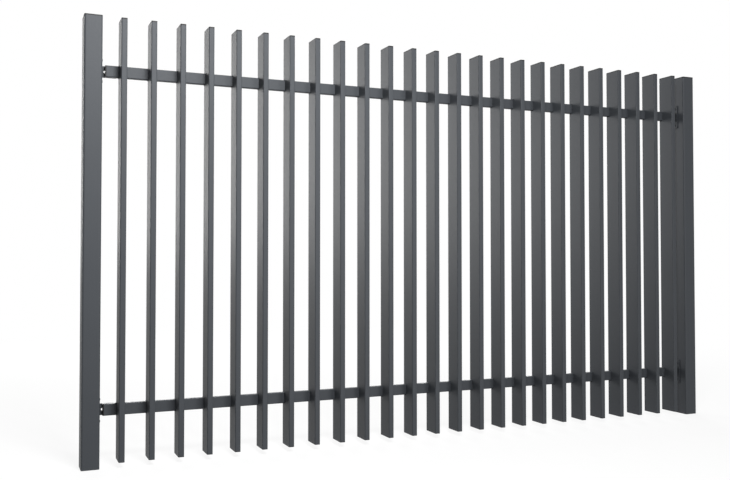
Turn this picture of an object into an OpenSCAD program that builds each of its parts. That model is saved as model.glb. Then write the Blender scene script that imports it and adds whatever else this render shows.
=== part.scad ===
// One bay of a palisade fence: upright blade pickets on two rails, bracketed between two posts.
// X runs along the fence from the left post, Y runs from the front to the back, Z is up.
// The origin is the centre of the left post's foot, at ground level.

/* [Bay] */
// Length of the picket panel, over its first and last pickets
panel_length = 2420; // [1500:1:3000]
// Number of pickets in the panel
picket_count = 25; // [10:1:27]
// Clear gap between a post and the nearest picket
post_gap = 60; // [58:1:120]

/* [Posts] */
// Height of a post above the ground, with its cap
post_height = 1530; // [1000:1:2400]
// Width of the post tube, along the fence
post_w = 60; // [40:1:120]
// Depth of the post tube, across the fence
post_d = 80; // [66:1:140]
// Wall of the post tube
post_wall = 3; // [2:0.5:5]
// Outer corner radius of the post tube
post_corner_r = 6; // [5.5:0.5:10]

/* [Pickets] */
// Width of the picket tube, along the fence
picket_w = 20; // [15:1:40]
// Depth of the picket tube, across the fence
picket_d = 80; // [60:1:100]
// Wall of the picket tube
picket_wall = 1.5; // [1:0.1:2.5]
// Outer corner radius of the picket tube
picket_corner_r = 3.5; // [3:0.5:6]
// Gap under the pickets
ground_gap = 19; // [5:1:100]
// Distance from the tops of the posts down to the tops of the pickets
top_drop = 5; // [0:1:50]

/* [Rails] */
// Height of a rail tube
rail_h = 40; // [30:1:60]
// Depth of a rail tube, which is let into the backs of the pickets
rail_d = 20; // [15:1:30]
// Wall of a rail tube
rail_wall = 2; // [1.5:0.5:3]
// Outer corner radius of a rail tube
rail_corner_r = 3; // [3:0.5:5]
// Height of the bottom rail's underside above the ground
bottom_rail_z = 169; // [130:1:400]
// Distance from the tops of the posts down to the top rail's upper side
top_rail_drop = 160; // [100:1:400]
// Distance from the backs of the posts in to the backs of the rails and pickets
rail_inset = 13; // [8:1:20]
// Gap between a post and the cut end of a rail
rail_end_gap = 18; // [15:1:40]

/* [Brackets] */
// Thickness of the bracket plate
bracket_t = 3; // [2:0.5:5]
// Reach of the tab from the post, along the back of the rail
tab_length = 54; // [50:1:58]
// Height of the foot that is screwed to the post
foot_h = 104; // [90:1:130]
// Width of the foot
foot_w = 28; // [20:1:34]
// Inner radius of the bend between the foot and the tab
bend_r = 1; // [0.5:0.5:3]
// Corner radius of the foot's and the tab's free ends
plate_corner_r = 4; // [1:0.5:8]
// Diameter of the foot's screw holes
screw_hole_d = 6.5; // [4:0.5:9]
// Distance between the foot's screw holes
screw_spacing = 74; // [70:1:80]
// Height of the slot in the tab
slot_h = 8.5; // [6:0.5:12]
// Length of the slot in the tab, end to end
slot_length = 23; // [14:1:30]
// Distance from the post to the near end of the slot
slot_start = 10; // [8:0.5:14]

/* [Caps and plugs] */
// Thickness of the flange of a picket's top cap
top_cap_t = 4; // [1:0.5:6]
// Thickness of the flange of a picket's bottom cap
bottom_cap_t = 2; // [1:0.5:6]
// Thickness of a post cap's flange
post_cap_t = 4; // [1:0.5:8]
// Thickness of a rail plug's flange
rail_plug_t = 4; // [2:0.5:6]
// Depth of the part of a cap or plug that sits inside the tube
plug_depth = 12; // [6:1:25]
// Clearance round the part of a cap or plug that sits inside the tube
plug_clearance = 0.2; // [0.1:0.05:0.5]

/* [Hidden] */
$fn = 48;
overrun = 1;
steel = "#4b5054";
black_plastic = "#1c1d1f";

post_pitch = post_w + 2 * post_gap + panel_length;
post_inner_x = post_w / 2;
first_picket_x = post_inner_x + post_gap + picket_w / 2;
picket_pitch = (panel_length - picket_w) / (picket_count - 1);

picket_back_y = post_d / 2 - rail_inset;
picket_mid_y = picket_back_y - picket_d / 2;
rail_mid_y = picket_back_y - rail_d / 2;

picket_top_z = post_height - top_drop;
picket_length = picket_top_z - ground_gap;
top_rail_mid_z = post_height - top_rail_drop - rail_h / 2;
bottom_rail_mid_z = bottom_rail_z + rail_h / 2;
rail_mids_z = [bottom_rail_mid_z, top_rail_mid_z];
rail_length = post_pitch - post_w - 2 * rail_end_gap;

function two_digits(i) = str(i < 10 ? "0" : "", i);
function picket_name(i) = str("picket_", two_digits(i));
function picket_x(i) = first_picket_x + (i - 1) * picket_pitch;

// ---- shared shapes ----

// Rectangle with rounded corners, centred on the origin
module rounded_rectangle(w, d, r) {
    square([w - 2 * r, d], center = true);
    square([w, d - 2 * r], center = true);
    for (x = [-1, 1], y = [-1, 1])
        translate([x * (w / 2 - r), y * (d / 2 - r)]) circle(r);
}

// Rectangular tube standing on the origin
module tube(w, d, wall, r, length) {
    difference() {
        linear_extrude(length) rounded_rectangle(w, d, r);
        translate([0, 0, -overrun])
            linear_extrude(length + 2 * overrun)
                rounded_rectangle(w - 2 * wall, d - 2 * wall, r - wall);
    }
}

// Push-in cap for a tube's upper end, with the flange's underside on the origin
module tube_cap(w, d, wall, r, flange_t) {
    play = wall + plug_clearance;
    linear_extrude(flange_t) rounded_rectangle(w, d, r);
    translate([0, 0, -plug_depth])
        linear_extrude(plug_depth + flange_t / 2)
            rounded_rectangle(w - 2 * play, d - 2 * play, r - play);
}

// Puts its children at the left end of the bay, and their mirror image at the right end
module at_right_end() {
    translate([post_pitch, 0, 0]) mirror([1, 0, 0]) children();
}

// ---- posts ----

module post() {
    color(steel) tube(post_w, post_d, post_wall, post_corner_r, post_height - post_cap_t);
}

module post_cap() {
    color(black_plastic)
        translate([0, 0, post_height - post_cap_t])
            tube_cap(post_w, post_d, post_wall, post_corner_r, post_cap_t);
}

// ---- rails and their plugs ----

module rail(mid_z) {
    color(steel)
        translate([post_inner_x + rail_end_gap, rail_mid_y, mid_z])
            rotate([90, 0, 90]) tube(rail_d, rail_h, rail_wall, rail_corner_r, rail_length);
}

// Plug in the left end of one rail
module rail_plug(mid_z) {
    translate([post_inner_x + rail_end_gap, rail_mid_y, mid_z])
        rotate([0, -90, 0])
            tube_cap(rail_h, rail_d, rail_wall, rail_corner_r, rail_plug_t);
}

module rail_end_plugs() {
    color(black_plastic)
        for (mid_z = rail_mids_z) {
            rail_plug(mid_z);
            at_right_end() rail_plug(mid_z);
        }
}

// ---- pickets and their caps ----

// The seats are cut in the picket's back, so that the rails lie flush with it
module picket(i) {
    color(steel)
        translate([picket_x(i), picket_mid_y, ground_gap + bottom_cap_t])
            difference() {
                tube(picket_w, picket_d, picket_wall, picket_corner_r,
                     picket_length - bottom_cap_t - top_cap_t);
                for (mid_z = rail_mids_z)
                    translate([
                        -picket_w / 2 - overrun,
                        picket_d / 2 - rail_d,
                        mid_z - rail_h / 2 - ground_gap - bottom_cap_t
                    ])
                        cube([picket_w + 2 * overrun, rail_d + overrun, rail_h]);
            }
}

module picket_cap(flange_t) {
    tube_cap(picket_w, picket_d, picket_wall, picket_corner_r, flange_t);
}

module picket_top_caps() {
    color(black_plastic)
        for (i = [1:picket_count])
            translate([picket_x(i), picket_mid_y, picket_top_z - top_cap_t])
                picket_cap(top_cap_t);
}

module picket_bottom_caps() {
    color(black_plastic)
        for (i = [1:picket_count])
            translate([picket_x(i), picket_mid_y, ground_gap + bottom_cap_t])
                mirror([0, 0, 1]) picket_cap(bottom_cap_t);
}

// ---- brackets ----

// Foot: the tall plate on the post's inner face, from its front edge to the bend
module bracket_foot(bend_y) {
    rotate([90, 0, 90])
        linear_extrude(bracket_t)
            difference() {
                translate([bend_y - foot_w / 2, 0])
                    rounded_rectangle(foot_w, foot_h, plate_corner_r);
                for (z = [-1, 1])
                    translate([bend_y - foot_w / 2, z * screw_spacing / 2])
                        circle(d = screw_hole_d);
            }
}

// Bend: a quarter ring as tall as the rail
module bracket_bend(bend_y) {
    outer_r = bend_r + bracket_t;
    translate([outer_r, bend_y, -rail_h / 2])
        linear_extrude(rail_h)
            intersection() {
                difference() {
                    circle(outer_r);
                    circle(bend_r);
                }
                translate([-outer_r, 0]) square(outer_r);
            }
}

// Tab: the slotted plate behind the rail
module bracket_tab() {
    start = bend_r + bracket_t;
    rotate([90, 0, 0])
        linear_extrude(bracket_t)
            difference() {
                union() {
                    translate([start, -rail_h / 2])
                        square([tab_length - start - plate_corner_r, rail_h]);
                    translate([(start + tab_length) / 2, 0])
                        rounded_rectangle(tab_length - start, rail_h, plate_corner_r);
                }
                for (x = [slot_start + slot_h / 2, slot_start + slot_length - slot_h / 2])
                    translate([x, 0]) circle(d = slot_h);
                translate([slot_start + slot_h / 2, -slot_h / 2])
                    square([slot_length - slot_h, slot_h]);
            }
}

// Bracket at the left end of one rail: the tab lies on the rail's back
module bracket(mid_z) {
    bend_y = picket_back_y - bend_r;
    color(steel)
        translate([post_inner_x, 0, mid_z]) {
            bracket_foot(bend_y);
            bracket_bend(bend_y);
            translate([0, picket_back_y + bracket_t, 0]) bracket_tab();
        }
}

// ---- the bay ----

post();  // left_post
at_right_end() post();  // right_post
post_cap();  // left_post_cap
at_right_end() post_cap();  // right_post_cap
rail(top_rail_mid_z);  // top_rail
rail(bottom_rail_mid_z);  // bottom_rail
rail_end_plugs();
picket_top_caps();
picket_bottom_caps();
bracket(top_rail_mid_z);  // left_top_bracket
bracket(bottom_rail_mid_z);  // left_bottom_bracket
at_right_end() bracket(top_rail_mid_z);  // right_top_bracket
at_right_end() bracket(bottom_rail_mid_z);  // right_bottom_bracket
for (i = [1:picket_count])
    picket(i);
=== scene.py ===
# %% [markdown]
# # A palisade fence bay in satin grey powder coat
#
# The fence is built in steel tube: 25 upright pickets stand on two rails, and four angle
# brackets hold the rails between two posts. The CAD model brings all of these in as a fixed
# frame, to scale and in place. This lesson adds what CAD leaves out: the camera and the light,
# the powder coat, the moulded caps, the screws that hold the brackets and the weld beads.

import bmesh
import bpy
import math
from mathutils import Matrix, Vector


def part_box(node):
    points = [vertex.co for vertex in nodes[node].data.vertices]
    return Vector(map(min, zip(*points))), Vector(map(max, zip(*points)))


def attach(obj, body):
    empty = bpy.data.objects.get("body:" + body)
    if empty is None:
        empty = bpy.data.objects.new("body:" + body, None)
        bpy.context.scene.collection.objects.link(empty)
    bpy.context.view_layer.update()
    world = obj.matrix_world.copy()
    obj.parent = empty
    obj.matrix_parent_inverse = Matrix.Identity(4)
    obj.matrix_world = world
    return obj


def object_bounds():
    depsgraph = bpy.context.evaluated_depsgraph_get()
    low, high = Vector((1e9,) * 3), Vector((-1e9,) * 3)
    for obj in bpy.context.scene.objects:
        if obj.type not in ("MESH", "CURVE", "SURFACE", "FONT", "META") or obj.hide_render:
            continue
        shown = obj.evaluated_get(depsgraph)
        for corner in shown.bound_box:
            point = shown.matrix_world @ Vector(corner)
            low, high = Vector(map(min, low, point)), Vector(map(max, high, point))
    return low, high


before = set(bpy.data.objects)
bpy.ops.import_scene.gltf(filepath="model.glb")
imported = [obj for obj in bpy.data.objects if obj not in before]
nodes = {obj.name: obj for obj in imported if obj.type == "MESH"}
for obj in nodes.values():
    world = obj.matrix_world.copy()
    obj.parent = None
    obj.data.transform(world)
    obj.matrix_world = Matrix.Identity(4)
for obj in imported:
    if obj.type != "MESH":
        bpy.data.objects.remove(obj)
cad_low, cad_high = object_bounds()
MM = 0.001  # the model is in metres, and small lengths are given in millimetres
print("CAD box in metres:", [round(high - low, 3) for low, high in zip(cad_low, cad_high)])

# %% [markdown]
# Names that come in families are gathered once, so that later steps can say "every picket".
# Positions are read from the frame and not written down again: if the model changes, the
# screws and the welds move with it.

# %% Find the parts
posts = ["left_post", "right_post"]
rails = ["top_rail", "bottom_rail"]
pickets = sorted(name for name in nodes if name.removeprefix("picket_").isdigit())
brackets = sorted(name for name in nodes if name.endswith("_bracket"))
caps_and_plugs = sorted(name for name in nodes if name.endswith(("_cap", "_caps", "_plugs")))
print(len(pickets), "pickets,", len(brackets), "brackets, caps and plugs:", caps_and_plugs)

# %% [markdown]
# ## Camera
#
# A fence is long and thin, so it is looked at from in front of one end. The camera stands
# three metres off, at about half the fence's height, and is turned towards the far post: the
# pickets then show their deep sides as well as their narrow fronts. The lens keeps both posts
# in the frame, and a small shift moves the frame down without tilting the upright lines.

# %% Set up the camera
CAMERA_PLACE = Vector((-295, -3049, 715)) * MM
CAMERA_TURN = math.radians(23.21)       # from straight across the fence towards the right post
CAMERA_TILT = math.radians(1.42)        # upwards
SENSOR_WIDTH, FOCAL_LENGTH = 36, 42.42  # in millimetres, as camera data take them
FRAME_SHIFT = -0.0078                   # of the frame's width, downwards

camera_data = bpy.data.cameras.new("camera")
camera_data.sensor_width = SENSOR_WIDTH
camera_data.lens = FOCAL_LENGTH
camera_data.shift_y = FRAME_SHIFT
camera = bpy.data.objects.new("camera", camera_data)
camera.location = CAMERA_PLACE
camera.rotation_euler = (math.pi / 2 + CAMERA_TILT, 0, -CAMERA_TURN)
bpy.context.scene.collection.objects.link(camera)
bpy.context.scene.camera = camera
bpy.context.scene.view_settings.view_transform = "Standard"

# %% [markdown]
# ## Colours and nodes
#
# Paint and plastic colours are written as the hex values that a colour chart gives. Those are
# sRGB values, while a shader works with linear light, so one function converts them. A second
# function adds a node: each input gets either a value or a link, in one readable call. An input
# goes by its name, or by its number where a node has several of one name.

# %% Colour and node helpers
def linear(hex_colour):
    """The linear RGBA of an sRGB colour such as #808080."""
    channels = [int(hex_colour[i:i + 2], 16) / 255 for i in (1, 3, 5)]
    return [c / 12.92 if c <= 0.04045 else ((c + 0.055) / 1.055) ** 2.4 for c in channels] + [1]


def add_node(owner, kind, inputs=None, **settings):
    """Adds a node of this kind to a material or world, with its settings, values and links."""
    node = owner.node_tree.nodes.new(kind)
    for name, value in settings.items():
        setattr(node, name, value)
    for name, value in (inputs or {}).items():
        if isinstance(value, bpy.types.NodeSocket):
            owner.node_tree.links.new(value, node.inputs[name])
        else:
            node.inputs[name].default_value = value
    return node


def new_material(name):
    """An empty node material, with its output node."""
    material = bpy.data.materials.new(name)
    material.use_nodes = True
    material.node_tree.nodes.clear()
    return material, add_node(material, "ShaderNodeOutputMaterial")


print("a middle grey of #808080 is", round(linear("#808080")[0], 3), "in linear light")

# %% [markdown]
# ## Floor, backdrop and light
#
# The fence stands on a plain pale floor that runs into a white backdrop. Both could simply be
# painted white, but so much white all round would flood the steel and wash out its shading.
# They give little light of their own instead. Only where they are seen, directly or mirrored in
# the gloss of the paint, are they lifted to white.

# %% White where it is seen
def seen_directly_or_mirrored(owner):
    """1 for rays from the camera, a glossy surface or a clear one, and 0 for the rest."""
    path = add_node(owner, "ShaderNodeLightPath").outputs
    seen = add_node(owner, "ShaderNodeMath",
                    {0: path["Is Camera Ray"], 1: path["Is Glossy Ray"]}, operation="MAXIMUM")
    return add_node(owner, "ShaderNodeMath",
                    {0: seen.outputs[0], 1: path["Is Transmission Ray"]},
                    operation="MAXIMUM").outputs[0]


WHITE = linear("#ffffff")
WORLD_LIGHT = 0.22  # strength of the even light from all round

world = bpy.data.worlds.new("studio")
world.use_nodes = True
world.node_tree.nodes.clear()
room_light = add_node(world, "ShaderNodeBackground",
                      {"Color": WHITE, "Strength": WORLD_LIGHT})
backdrop = add_node(world, "ShaderNodeBackground", {"Color": WHITE, "Strength": 1})
surroundings = add_node(world, "ShaderNodeMixShader",
                        {0: seen_directly_or_mirrored(world),
                         1: room_light.outputs[0], 2: backdrop.outputs[0]})
add_node(world, "ShaderNodeOutputWorld", {"Surface": surroundings.outputs[0]})
bpy.context.scene.world = world
print("the world lights with", WORLD_LIGHT, "and shows as white")

# %% [markdown]
# A studio's floor is often paper that curves up into the backdrop. One flat square is enough
# here: it is so large that its edge lies on the horizon, and its paint takes it over into the
# white of the backdrop. It lies a little lower than the posts' feet.

# %% Lay the floor
FLOOR_SIZE = 60        # metres, so that its edge lies on the horizon
FLOOR_GAP = 0.5 * MM   # under the posts, so that no two surfaces share a place

floor_mesh = bpy.data.meshes.new("floor")
floor_bm = bmesh.new()
bmesh.ops.create_grid(floor_bm, x_segments=1, y_segments=1, size=FLOOR_SIZE / 2)
floor_bm.to_mesh(floor_mesh)
floor_bm.free()
floor = bpy.data.objects.new("floor", floor_mesh)
fence_middle = (cad_low + cad_high) / 2
floor.location = (fence_middle.x, fence_middle.y, cad_low.z - FLOOR_GAP)
bpy.context.scene.collection.objects.link(floor)
print("floor lies at", round(floor.location.z / MM, 2), "mm")

# %% [markdown]
# The floor's paint has two parts. A grey tone lies near the fence, and the fence's shadows fall
# on it. The lift is added to it as plain emission, so that both together look white. With
# distance the lamps grow weak, so the grey fades out and the lift grows to full white, which
# meets the backdrop without a line at the horizon.

# %% Paint the floor
FLOOR_TONE = linear("#686868")      # what the lamps light, near the fence
BLACK = linear("#000000")           # what they light far from it
LIFT_NEAR, LIFT_FAR = 0.86, 1       # what is added to it where the floor is seen
FADE_START, FADE_END = 2, 5         # metres from the middle of the fence
MIX_A, MIX_B, MIX_RESULT = 6, 7, 2  # a Mix node's sockets for colours

floor_paint, floor_output = new_material("pale_floor_paint")
centre = add_node(floor_paint, "ShaderNodeTexCoord").outputs["Object"]
distance = add_node(floor_paint, "ShaderNodeVectorMath", {0: centre}, operation="LENGTH")
far = add_node(floor_paint, "ShaderNodeMapRange",
               {"Value": distance.outputs["Value"], "From Min": FADE_START,
                "From Max": FADE_END}, interpolation_type="SMOOTHSTEP").outputs["Result"]
own_tone = add_node(floor_paint, "ShaderNodeMix",
                    {"Factor": far, MIX_A: FLOOR_TONE, MIX_B: BLACK}, data_type="RGBA")
floor_colour = add_node(floor_paint, "ShaderNodeBsdfDiffuse",
                        {"Color": own_tone.outputs[MIX_RESULT]})
white_part = add_node(floor_paint, "ShaderNodeMapRange",
                      {"Value": far, "To Min": LIFT_NEAR, "To Max": LIFT_FAR})
lift = add_node(floor_paint, "ShaderNodeMath",
                {0: seen_directly_or_mirrored(floor_paint), 1: white_part.outputs["Result"]},
                operation="MULTIPLY")
floor_lift = add_node(floor_paint, "ShaderNodeEmission",
                      {"Color": WHITE, "Strength": lift.outputs[0]})
floor_sum = add_node(floor_paint, "ShaderNodeAddShader",
                     {0: floor_colour.outputs[0], 1: floor_lift.outputs[0]})
floor_paint.node_tree.links.new(floor_sum.outputs[0], floor_output.inputs["Surface"])
floor_mesh.materials.append(floor_paint)
print("lift of", LIFT_NEAR, "near the fence and", LIFT_FAR, "from", FADE_END, "m on")

# %% [markdown]
# Four soft lamps model the steel. Square area lamps are chosen because a satin surface shows
# them as a soft sheen, where a point would leave a hot spot. A small one hangs in front of the
# left end and makes the tops there the brightest fronts. A low one lights the other fronts.
# One behind the left end skims along the sides of the pickets and brings out their gloss, and
# one behind the right end lights the backs, so that the fence reads from all round.

# %% Soft lamps
def soft_lamp(name, place, target, size, power):
    """A square area lamp at place, turned to the target point."""
    data = bpy.data.lights.new(name, "AREA")
    data.shape = "SQUARE"
    data.size = size
    data.energy = power
    lamp = bpy.data.objects.new(name, data)
    lamp.location = place
    lamp.rotation_euler = (Vector(target) - Vector(place)).to_track_quat("-Z", "Y").to_euler()
    bpy.context.scene.collection.objects.link(lamp)


LAMPS = [  # name, place, target, size in metres, power in watts
    ("near_lamp", (0.45, -2.0, 2.3), (0.3, 0, 1.4), 0.7, 86),
    ("low_lamp", (2.6, -5.2, 1.0), (1.5, 0, 0.6), 1.5, 100),
    ("back_lamp", (0.28, 5.78, 2.0), (1.3, 0, 0.76), 2.6, 190),
    ("rear_lamp", (4.6, 4.8, 2.6), (1.3, 0, 0.7), 2.2, 170),
]
for lamp in LAMPS:
    soft_lamp(*lamp)
print(len(LAMPS), "lamps, together", sum(power for *_, power in LAMPS), "W")

# %% [markdown]
# ## Powder coat
#
# The steel is powder coated: dry polyester powder clings to the charged metal and is melted
# in an oven into a film of about 0.08 mm. It could be drawn as plain paint, but three things
# tell powder coat apart. It is satin, so it mirrors the surroundings softly. It sets with
# orange peel, a faint waviness 2 or 3 mm across that makes reflections a little uneven. And
# its film is slightly thicker in places, which clouds the tone over a hand's length. Noise
# drives all three: one coarse noise for the clouds, and one fine noise for the peel's relief
# and for its roughness.

# %% The powder coat material
ANTHRACITE = "#404347"      # anthracite grey, the usual colour for such fences
CLOUDED = "#3c3f43"         # the same where the film is thin
COAT_ROUGHNESS = 0.53       # satin: it shows soft, wide reflections
ROUGHNESS_SPREAD = 0.05     # how much the peel changes it, either way
COAT_IOR = 1.5              # polyester
COAT_GLOSS = 0.2            # specular level: fillers in the film make it duller than clear resin
PEEL_SIZE = 8 * MM          # really 2 to 3 mm, drawn coarser so that it shows at all
PEEL_HEIGHT = 0.3 * MM
PEEL_STRENGTH = 0.6         # the share of that height that the light sees
CLOUD_SIZE = 160 * MM       # about a hand's length
PEEL_DETAIL, CLOUD_DETAIL = 1, 2  # how many finer layers of noise are added
BEVEL_SAMPLES = 6           # rays that look for an edge to round off


def powder_coat(name, edge_radius=0):
    """Satin polyester powder coat. An edge radius softens the cut edges of plate."""
    material, output = new_material(name)
    place = add_node(material, "ShaderNodeTexCoord").outputs["Object"]
    cloud = add_node(material, "ShaderNodeTexNoise",
                     {"Vector": place, "Scale": 1 / CLOUD_SIZE, "Detail": CLOUD_DETAIL})
    colour = add_node(material, "ShaderNodeMix",
                      {"Factor": cloud.outputs["Fac"], MIX_A: linear(CLOUDED),
                       MIX_B: linear(ANTHRACITE)}, data_type="RGBA")
    peel = add_node(material, "ShaderNodeTexNoise",
                    {"Vector": place, "Scale": 1 / PEEL_SIZE, "Detail": PEEL_DETAIL})
    satin = add_node(material, "ShaderNodeMapRange",
                     {"Value": peel.outputs["Fac"],
                      "To Min": COAT_ROUGHNESS - ROUGHNESS_SPREAD,
                      "To Max": COAT_ROUGHNESS + ROUGHNESS_SPREAD})
    relief = add_node(material, "ShaderNodeBump",
                      {"Height": peel.outputs["Fac"], "Strength": PEEL_STRENGTH,
                       "Distance": PEEL_HEIGHT})
    if edge_radius:
        edge = add_node(material, "ShaderNodeBevel", {"Radius": edge_radius},
                        samples=BEVEL_SAMPLES)
        material.node_tree.links.new(edge.outputs[0], relief.inputs["Normal"])
    paint = add_node(material, "ShaderNodeBsdfPrincipled",
                     {"Base Color": colour.outputs[MIX_RESULT],
                      "Roughness": satin.outputs["Result"],
                      "Normal": relief.outputs["Normal"], "IOR": COAT_IOR,
                      "Specular IOR Level": COAT_GLOSS})
    material.node_tree.links.new(paint.outputs[0], output.inputs["Surface"])
    return material


PLATE_EDGE_RADIUS = 0.6 * MM  # the coat rounds the sharp edges of cut plate

tube_coat = powder_coat("satin_powder_coat_on_tube")
plate_coat = powder_coat("satin_powder_coat_on_plate", PLATE_EDGE_RADIUS)
print("powder coats:", tube_coat.name, "and", plate_coat.name)

# %% [markdown]
# ## Moulded plastic
#
# The tube ends are closed with push-in caps of black polyethylene. They are injection moulded
# in a tool with a fine spark-eroded grain, so they are duller than the paint and never quite
# black. The CAD caps are right in shape but sharp, and a mould can't make a sharp rim. The rim
# could be cut round in the mesh. A bevelled normal does it with no new faces: the light sees a
# rounded edge, and the part keeps its shape.

# %% The cap material
CAP_BLACK_WITH_PIT_SHADE, CAP_BLACK_WITH_TOP_SHEEN = "#0e0e0f", "#131314"  # the plastic's one black, darker in the pits of the grain as painted shade and lighter on its tops as painted sheen
CAP_ROUGHNESS = (0.45, 0.6)                 # from the pits to the tops
CAP_IOR = 1.51                              # polyethylene
CAP_GLOSS = 0.2         # specular level: the grain scatters most of the mirrored light
GRAIN_SIZE = 3 * MM     # really 0.1 to 0.2 mm, drawn coarser so that it shows
GRAIN_HEIGHT = 0.1 * MM
GRAIN_STRENGTH = 0.3    # the share of that height that the light sees
GRAIN_DETAIL = 2        # how many finer layers of noise are added
RIM_RADIUS = 0.8 * MM

cap_plastic, cap_output = new_material("moulded_black_polyethylene")
place = add_node(cap_plastic, "ShaderNodeTexCoord").outputs["Object"]
grain = add_node(cap_plastic, "ShaderNodeTexNoise",
                 {"Vector": place, "Scale": 1 / GRAIN_SIZE,
                  "Detail": GRAIN_DETAIL}).outputs["Fac"]
# The grain's colour is painted light: the pits get painted shade and the tops get a painted sheen,
# while the plastic is one black.
grain_shade_and_sheen = add_node(cap_plastic, "ShaderNodeMix",
                {"Factor": grain, MIX_A: linear(CAP_BLACK_WITH_PIT_SHADE), MIX_B: linear(CAP_BLACK_WITH_TOP_SHEEN)},
                data_type="RGBA")
dull = add_node(cap_plastic, "ShaderNodeMapRange",
                {"Value": grain, "To Min": CAP_ROUGHNESS[0], "To Max": CAP_ROUGHNESS[1]})
rim = add_node(cap_plastic, "ShaderNodeBevel", {"Radius": RIM_RADIUS}, samples=BEVEL_SAMPLES)
mould = add_node(cap_plastic, "ShaderNodeBump",
                 {"Height": grain, "Normal": rim.outputs[0], "Strength": GRAIN_STRENGTH,
                  "Distance": GRAIN_HEIGHT})
plastic = add_node(cap_plastic, "ShaderNodeBsdfPrincipled",
                   {"Base Color": grain_shade_and_sheen.outputs[MIX_RESULT], "Roughness": dull.outputs["Result"],
                    "Normal": mould.outputs["Normal"], "IOR": CAP_IOR,
                    "Specular IOR Level": CAP_GLOSS})
cap_plastic.node_tree.links.new(plastic.outputs[0], cap_output.inputs["Surface"])
print("cap plastic:", cap_plastic.name)

# %% [markdown]
# The CAD parts keep their meshes and only change their finish. Each has material slots from the
# CAD model, and the new material goes into all of them.

# %% Give the CAD parts their finishes
finishes = [(tube_coat, posts + rails + pickets), (plate_coat, brackets),
            (cap_plastic, caps_and_plugs)]
for material, names in finishes:
    for name in names:
        for slot in nodes[name].material_slots:
            slot.material = material
print("finished", sum(len(names) for _, names in finishes), "of", len(nodes), "parts")

# %% [markdown]
# ## Screws
#
# Each bracket is held with three button-head screws: two through its foot into the post, and
# one through the slot of its tab into the rail, with a washer that spans the slot. A button
# head is a low dome with a hexagon socket for the key. It is turned on a lathe and then
# punched, and it is modelled the same way: round rings make the dome, and six-sided rings the
# socket, all joined into one closed skin.

# %% Rings that turn up a screw
SEGMENTS = 48  # a multiple of twelve, so that a point falls on every corner of the hexagon


def ring(height, radius, across_flats=None):
    """Points of a round ring in mm, or of a hexagon of this width, trimmed to the radius."""
    points = []
    for step in range(SEGMENTS):
        angle = 2 * math.pi * step / SEGMENTS
        reach = radius
        if across_flats:
            off_flat = (angle + math.pi / 6) % (math.pi / 3) - math.pi / 6
            reach = min(radius, across_flats / 2 / math.cos(off_flat))
        points.append((reach * math.cos(angle), reach * math.sin(angle), height))
    return points


def skin(bm, rings, place):
    """Joins rings, from low to high, into a closed skin that is moved to its place."""
    rows = [[bm.verts.new(place @ (Vector(point) * MM)) for point in points] for points in rings]
    bm.faces.new(reversed(rows[0]))
    bm.faces.new(rows[-1])
    for low, high in zip(rows, rows[1:]):
        for i in range(SEGMENTS):
            j = (i + 1) % SEGMENTS
            bm.faces.new((low[i], low[j], high[j], high[i])).smooth = True


print("each ring has", SEGMENTS, "points")

# %% [markdown]
# The sizes are close to those of an M6 button head, in millimetres. A turned edge is never quite
# sharp, so the washer, the head's rim and the mouth of the socket each get a fine chamfer, which
# catches the light. The dome follows a quarter of an ellipse, cut off where the socket opens.

# %% One screw, with or without its washer
HEAD_RADIUS, HEAD_HEIGHT = 5.25, 3.0
HEAD_CHAMFER = 0.15                       # under the rim
RIM_HEIGHT = 0.2                          # the straight rim under the dome
DOME_HEIGHT, DOME_DEPTH = 2.7, 2.4        # how far the ellipse rises and how far it comes in
DOME_TURNS = (10, 25, 40, 55, 70)         # degrees round the ellipse, from the rim
KEY_WIDTH = 4.0                           # across the flats of the hexagon
SOCKET_MOUTH = [(0, 0.35), (0.1, 0.05)]   # depth, and how far outside the hexagon's corners
HEXAGON_DEPTHS = (0.25, 1.7)              # where the hexagon starts and ends
DRILL_DEPTH, DRILL_RADIUS = 2.0, 0.8      # the hollow that a drill leaves under the hexagon
SHANK_RADIUS = 2.9
SHANK_TIP = [(-2.8, 2.5), (-2.5, 2.9)]    # height and radius, inside the plate's hole
WASHER = [(0, 5.8), (0.15, 6), (1.35, 6), (1.55, 5.9), (1.6, 5.7), (1.6, 4.25)]  # likewise


def add_screw(bm, place, washer):
    """A screw whose head, or washer, rests on the origin of place and looks along its Z axis."""
    base = 0
    if washer:
        skin(bm, [ring(*point) for point in WASHER], place)
        base = WASHER[-1][0]
    top = base + HEAD_HEIGHT
    corner = KEY_WIDTH / 2 / math.cos(math.pi / 6)
    rings = [ring(*point) for point in SHANK_TIP]
    rings += [ring(base, SHANK_RADIUS), ring(base, HEAD_RADIUS - HEAD_CHAMFER),
              ring(base + RIM_HEIGHT, HEAD_RADIUS)]
    for turn in map(math.radians, DOME_TURNS):
        rings.append(ring(base + RIM_HEIGHT + DOME_HEIGHT * math.sin(turn),
                          HEAD_RADIUS - DOME_DEPTH * (1 - math.cos(turn))))
    rings += [ring(top - depth, corner + wider) for depth, wider in SOCKET_MOUTH]
    rings += [ring(top - depth, corner, KEY_WIDTH) for depth in HEXAGON_DEPTHS]
    rings.append(ring(top - DRILL_DEPTH, DRILL_RADIUS))
    skin(bm, rings, place)


print("a head is", 2 * HEAD_RADIUS, "mm wide and", HEAD_HEIGHT, "mm high")

# %% [markdown]
# A mesh made in code becomes a piece of the fence in one more step: it gets its name and its
# finish, and rides with the fence's one body.
# The three screws of a bracket make one piece.

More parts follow.
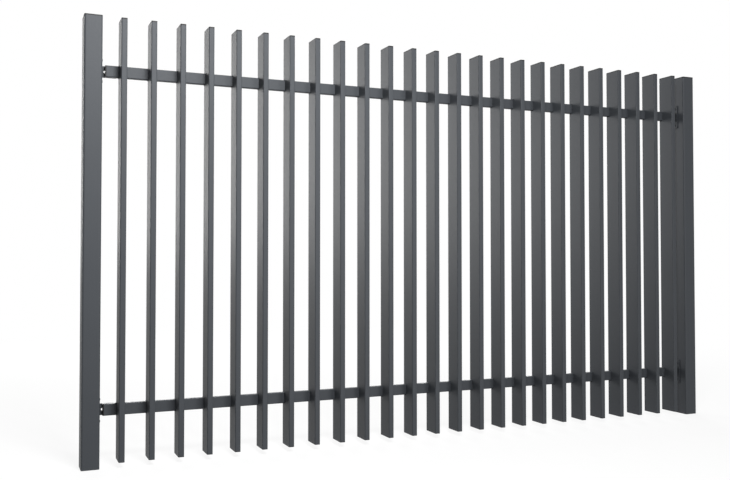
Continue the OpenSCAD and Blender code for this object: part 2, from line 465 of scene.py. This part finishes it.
# %% Turn mesh code into a piece
def piece_from(bm, name, material):
    """Turns mesh code into a named piece that rides with the fence."""
    bmesh.ops.recalc_face_normals(bm, faces=bm.faces)
    mesh = bpy.data.meshes.new(name)
    bm.to_mesh(mesh)
    bm.free()
    mesh.materials.append(material)
    piece = bpy.data.objects.new(name, mesh)
    bpy.context.scene.collection.objects.link(piece)
    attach(piece, "root")
    print(name, "has", len(mesh.polygons), "faces")


# %% [markdown]
# A screw could be made once and copied. Here each one is turned up in its place, which takes
# only a matrix: where it rests, which way it faces and how far it was turned. The foot's screws
# face along the fence, away from the post, and the slot's screw faces out of the back.

# %% Put the screws in
PLATE, FOOT_WIDTH = 3 * MM, 28 * MM    # the bracket's plate and the foot made from it
SCREW_SPACING = 74 * MM                # between the two holes of the foot
SLOT_REACH = 26.5 * MM                 # from the post to the screw, in the slot's far half
FIRST_SPIN, SPIN_STEP = 17, 23         # degrees, because no two screws stop alike
AWAY = {"left": 1, "right": -1}        # which way the bay lies, seen from each post

for name in brackets:
    low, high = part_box(name)
    away = AWAY[name.split("_")[0]]
    post_face = (low if away > 0 else high).x
    foot_middle = low.y + FOOT_WIDTH / 2
    middle = (low.z + high.z) / 2
    screws = [((post_face + away * PLATE, foot_middle, middle + rise * SCREW_SPACING / 2),
               (away, 0, 0), False) for rise in (-1, 1)]
    screws.append(((post_face + away * SLOT_REACH, high.y, middle), (0, 1, 0), True))
    bm = bmesh.new()
    for number, (spot, outward, washer) in enumerate(screws):
        facing = Vector(outward).to_track_quat("Z", "Y").to_matrix().to_4x4()
        spin = Matrix.Rotation(math.radians(FIRST_SPIN + SPIN_STEP * number), 4, "Z")
        add_screw(bm, Matrix.Translation(spot) @ facing @ spin, washer)
    piece_from(bm, name.replace("bracket", "screws"), plate_coat)

# %% [markdown]
# ## Welds
#
# Every picket sits in its seats over both rails and is welded there. The front is kept clean,
# so the beads run where they hide: along the rail's upper and lower side against the picket's
# flanks, and across the back. A weld is laid down as a row of small overlapping pools, and
# the ripples still show through the paint. A smooth rod would look like a cable in the corner,
# so each bead is built from closely spaced cross-sections that swell and shrink with the pools
# and taper where the welder starts and stops.

# %% A weld bead
POOL_STEP = 1.9                      # mm from one pool to the next
POOL_SECTIONS, FEWEST_STEPS = 5, 6   # cross-sections to a pool, and steps in the shortest bead
POOL_LOW, POOL_SWELL = 0.93, 0.09    # the bead's size between pools, and what a pool adds
END_SIZE, TAPER_LENGTH = 0.35, 2.5   # its size at either end, and the mm it takes to grow
SECTION_POINTS = 5
FLATNESS = 0.55                      # of the bead's face, from 0, round, to 1, flat
HIDDEN_ROOT = 0.5                    # mm that the bead's root lies in the steel


def add_bead(bm, start, end, side_a, side_b, leg):
    """A bead in the corner from which side_a and side_b lead out. It reaches leg mm up each."""
    length = (end - start).length / MM
    steps = max(FEWEST_STEPS, round(length / POOL_STEP * POOL_SECTIONS))
    rows = []
    for step in range(steps + 1):
        along = length * step / steps
        grown = min(along, length - along) / TAPER_LENGTH
        pool = along / POOL_STEP % 1
        reach = leg * min(1, END_SIZE + (1 - END_SIZE) * grown)
        reach *= POOL_LOW + POOL_SWELL * pool * pool
        centre = start + (end - start) * step / steps
        row = [centre - (side_a + side_b) * HIDDEN_ROOT * MM]
        for i in range(SECTION_POINTS):
            turn = math.pi / 2 * i / (SECTION_POINTS - 1)
            flat = Vector((math.cos(turn) ** 2, math.sin(turn) ** 2))
            arc = Vector((math.cos(turn), math.sin(turn)))
            a, b = arc.lerp(flat, FLATNESS) * reach
            row.append(centre + (side_a * a + side_b * b) * MM)
        rows.append([bm.verts.new(point) for point in row])
    bm.faces.new(rows[0])
    bm.faces.new(reversed(rows[-1]))
    for low, high in zip(rows, rows[1:]):
        for i in range(len(low)):
            j = (i + 1) % len(low)
            bm.faces.new((low[i], low[j], high[j], high[i])).smooth = True


print("a pool every", POOL_STEP, "mm")

# %% [markdown]
# The boxes of a picket and a rail say where the beads run. On each flank the picket's wall meets
# the rail's upper and lower side in a square corner. Across the back the two lie flush, but the
# rail's rounded edge leaves a groove there, and a smaller bead fills it.

# %% Weld the pickets to the rails
FLANK_LEG, BACK_LEG = 2.6, 2.2               # the beads' sizes in mm
FRONT_STOP, BACK_STOP = 2.5 * MM, 3 * MM     # from a flank bead's ends to the rail's front and back
SIDE_STOP = 2.5 * MM                         # from a back bead's ends to the picket's sides
ROUNDING = 1.4 * MM                          # how far the rail's round corner sets it in
OUTWARD = Vector((0, 1, 0))                  # out of the fence's back

for rail in rails:
    rail_low, rail_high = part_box(rail)
    front, back = rail_low.y + FRONT_STOP, rail_high.y - BACK_STOP
    bm = bmesh.new()
    for name in pickets:
        low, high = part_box(name)
        for edge_z, up in ((rail_high.z, Vector((0, 0, 1))), (rail_low.z, Vector((0, 0, -1)))):
            for edge_x, out in ((low.x, Vector((-1, 0, 0))), (high.x, Vector((1, 0, 0)))):
                add_bead(bm, Vector((edge_x, front, edge_z)), Vector((edge_x, back, edge_z)),
                         out, up, FLANK_LEG)
            corner = Vector((0, rail_high.y, edge_z)) - (OUTWARD + up) * ROUNDING
            add_bead(bm, corner + Vector((low.x + SIDE_STOP, 0, 0)),
                     corner + Vector((high.x - SIDE_STOP, 0, 0)), OUTWARD, up, BACK_LEG)
    piece_from(bm, rail.replace("rail", "welds"), tube_coat)
